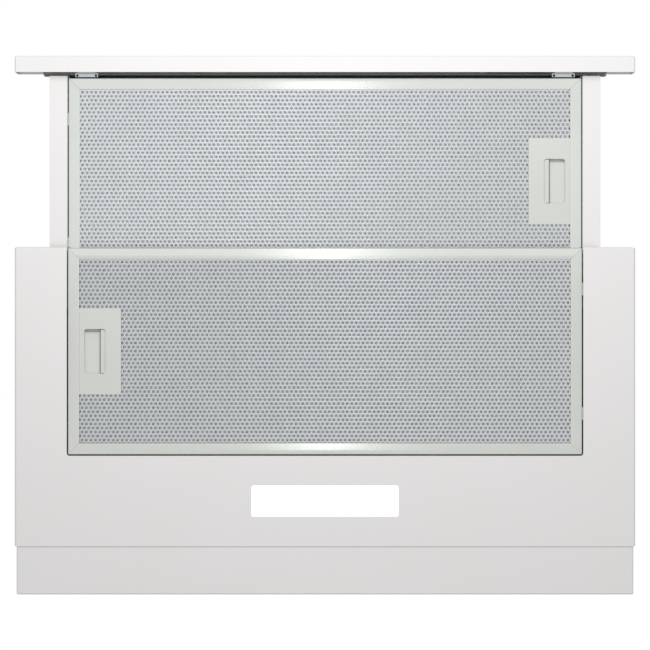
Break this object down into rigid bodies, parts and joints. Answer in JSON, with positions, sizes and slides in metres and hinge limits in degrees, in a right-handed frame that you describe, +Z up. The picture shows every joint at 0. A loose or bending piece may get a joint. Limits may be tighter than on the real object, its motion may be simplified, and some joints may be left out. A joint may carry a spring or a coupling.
{
  "type": "under cabinet range hood",
  "caption": "Slide-out under cabinet range hood: white steel pan and fan box with outlet collar, pull-out drawer with its own grease filter, lamp window and wall spacer.",
  "frame": {"origin": "middle of the top face of the pan's front flange, which is pressed against the cabinet's underside", "axes": "+Z up, -Y to the front where the drawer pulls out, +X to the right of someone who faces the back of the hood from the front"},
  "size_m": [0.598, 0.5193, 0.2393],
  "materials": {
    "painted_steel": "satin white powder coat on folded steel",
    "white_plastic": "fine moulded white",
    "lamp_diffuser": "frosted opal diffuser",
    "filter_aluminium": "satin anodised strip",
    "expanded_aluminium": "bright expanded mesh",
    "galvanised_steel": "dull zinc coat",
    "spring_steel": "bright plated",
    "black_plastic": "fine moulded black",
    "grey_plastic": "fine moulded grey",
    "circuit_board": "solder mask",
    "led_board_white": "white solder mask",
    "motor_steel": "drawn can"
  },
  "bodies": {
    "hood": {"base_pan": "painted_steel", "lamp_lens": "lamp_diffuser", "lamp_housing": "white_plastic", "led_board": "led_board_white", "upper_box": "galvanised_steel", "cable_gland": "black_plastic", "scroll_half_left": "black_plastic", "scroll_half_right": "black_plastic", "motor_body": "motor_steel", "motor_bracket": "galvanised_steel", "control_box": "grey_plastic", "control_box_lid": "grey_plastic", "control_board": "circuit_board", "capacitor": "white_plastic", "outlet_collar": "black_plastic", "filter_hinge_bracket": "galvanised_steel", "filter_catch": "galvanised_steel", "runner_outer_left": "galvanised_steel", "runner_outer_right": "galvanised_steel"},
    "drawer": {"drawer_filter_frame": "filter_aluminium", "drawer_filter_mesh_lower": "expanded_aluminium", "drawer_filter_pad": "expanded_aluminium", "drawer_filter_mesh_upper": "expanded_aluminium", "drawer_filter_latch_plate": "filter_aluminium", "drawer_filter_latch_spring": "spring_steel", "drawer_top_cover": "galvanised_steel", "drawer_rear_crossmember": "painted_steel", "drawer_front_crossmember": "galvanised_steel", "fascia": "painted_steel", "fascia_end_cap_left": "white_plastic", "fascia_end_cap_right": "white_plastic", "fascia_clip_left": "spring_steel", "fascia_clip_right": "spring_steel", "clip_screw_left_outer": "spring_steel", "clip_screw_left_inner": "spring_steel", "clip_screw_right_outer": "spring_steel", "clip_screw_right_inner": "spring_steel", "drawer_side_rail_left": "painted_steel", "drawer_side_rail_right": "painted_steel", "runner_inner_left": "galvanised_steel", "runner_inner_right": "galvanised_steel", "control_bezel": "grey_plastic", "control_switch_unit": "black_plastic"},
    "body_filter": {"body_filter_frame": "filter_aluminium", "body_filter_mesh_lower": "expanded_aluminium", "body_filter_pad": "expanded_aluminium", "body_filter_mesh_upper": "expanded_aluminium", "body_filter_latch_plate": "filter_aluminium", "body_filter_latch_spring": "spring_steel"},
    "body_filter_latch": {"body_filter_latch_slider": "filter_aluminium"},
    "drawer_filter_latch": {"drawer_filter_latch_slider": "filter_aluminium"},
    "fan_rotor": {"impeller": "black_plastic", "hub_nut": "spring_steel", "motor_shaft": "spring_steel"},
    "front_flap": {"damper_flap_front": "black_plastic"},
    "rear_flap": {"damper_flap_rear": "black_plastic"},
    "fan_speed_knob": {"fan_speed_knob": "white_plastic"},
    "light_knob": {"light_knob": "white_plastic"},
    "wall_spacer": {"rear_spacer": "painted_steel"}
  },
  "joints": [
    {"name": "drawer_slide", "type": "slide", "parent": "hood", "child": "drawer", "axis": [0, 1, 0], "range_m": [0, 0.168]},
    {"name": "body_filter_hinge", "type": "hinge", "parent": "hood", "child": "body_filter", "pos_m": [0.2477, 0.0885, -0.041], "axis": [0, -1, 0], "range_deg": [0, 60]},
    {"name": "body_filter_latch_slide", "type": "slide", "parent": "body_filter", "child": "body_filter_latch", "axis": [1, 0, 0], "range_m": [0, 0.005], "stiffness_N_per_m": 300, "springref_m": -0.004, "deforming": ["body_filter_latch_spring"]},
    {"name": "drawer_filter_latch_slide", "type": "slide", "parent": "drawer", "child": "drawer_filter_latch", "axis": [-1, 0, 0], "range_m": [0, 0.005], "stiffness_N_per_m": 300, "springref_m": -0.004, "deforming": ["drawer_filter_latch_spring"]},
    {"name": "fan_spin", "type": "hinge", "parent": "hood", "child": "fan_rotor", "pos_m": [0, 0.1018, 0.082], "axis": [1, 0, 0], "continuous": true},
    {"name": "front_flap_hinge", "type": "hinge", "parent": "hood", "child": "front_flap", "pos_m": [0, 0.137, 0.1756], "axis": [-1, 0, 0], "range_deg": [0, 75]},
    {"name": "rear_flap_hinge", "type": "hinge", "parent": "hood", "child": "rear_flap", "pos_m": [0, 0.142, 0.1756], "axis": [1, 0, 0], "range_deg": [0, 75]},
    {"name": "fan_speed_slide", "type": "slide", "parent": "drawer", "child": "fan_speed_knob", "axis": [1, 0, 0], "range_m": [0, 0.024]},
    {"name": "light_slide", "type": "slide", "parent": "drawer", "child": "light_knob", "axis": [1, 0, 0], "range_m": [0, 0.008]},
    {"name": "wall_spacer_slide", "type": "slide", "parent": "hood", "child": "wall_spacer", "axis": [0, -1, 0], "range_m": [0, 0.012]}
  ]
}
